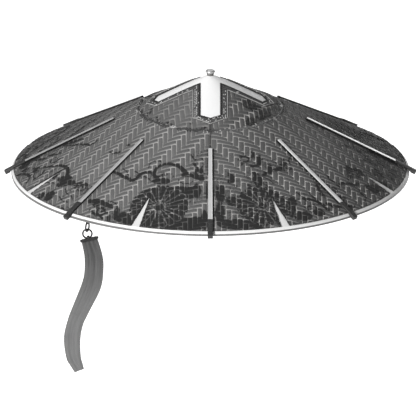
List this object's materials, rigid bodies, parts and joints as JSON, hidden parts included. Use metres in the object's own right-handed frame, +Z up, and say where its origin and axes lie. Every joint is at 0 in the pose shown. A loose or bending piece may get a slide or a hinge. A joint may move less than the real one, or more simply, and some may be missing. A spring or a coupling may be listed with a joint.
{
  "type": "samurai hat",
  "caption": "Wide conical woven hat with a pale shell, metal cross and knob at the peak, radiating metal ribs with dark ends, and a ribbon hanging from rings at the rim.",
  "frame": {"origin": "on the hat's axis, at the height where the top of a wearer's head touches the cone from inside", "axes": "+Z up along the hat's axis, -Y the front, -X the side with the ribbon"},
  "size_m": [0.518, 0.518, 0.3367],
  "materials": {
    "pale_lacquer": "smooth pale lacquer",
    "woven_strips": "grey herringbone weave with dark painted scrolls",
    "dark_braid": "speckled dark braid",
    "white_metal": "white, smooth",
    "polished_steel": "satin",
    "blackened_metal": "black, satin",
    "dark_wire": "dark",
    "ribbon_cloth": "plain grey ribbon"
  },
  "bodies": {
    "root": {"base_shell": "pale_lacquer", "brim_weave": "woven_strips", "crown_weave": "woven_strips", "cross_trim": "dark_braid", "crown_cross": "white_metal", "finial_knob": "polished_steel", "rim_eye": "dark_wire", "upper_ring": "dark_wire", "lower_ring": "dark_wire", "ribbon_clamp": "dark_wire", "ribbon": "ribbon_cloth", "rib_rod_1": "polished_steel", "rib_cap_1": "blackened_metal", "rib_rod_2": "polished_steel", "rib_cap_2": "blackened_metal", "rib_rod_3": "polished_steel", "rib_cap_3": "blackened_metal", "rib_rod_4": "polished_steel", "rib_cap_4": "blackened_metal", "rib_rod_5": "polished_steel", "rib_cap_5": "blackened_metal", "rib_rod_6": "polished_steel", "rib_cap_6": "blackened_metal", "rib_rod_7": "polished_steel", "rib_cap_7": "blackened_metal", "rib_rod_8": "polished_steel", "rib_cap_8": "blackened_metal"}
  },
  "joints": []
}
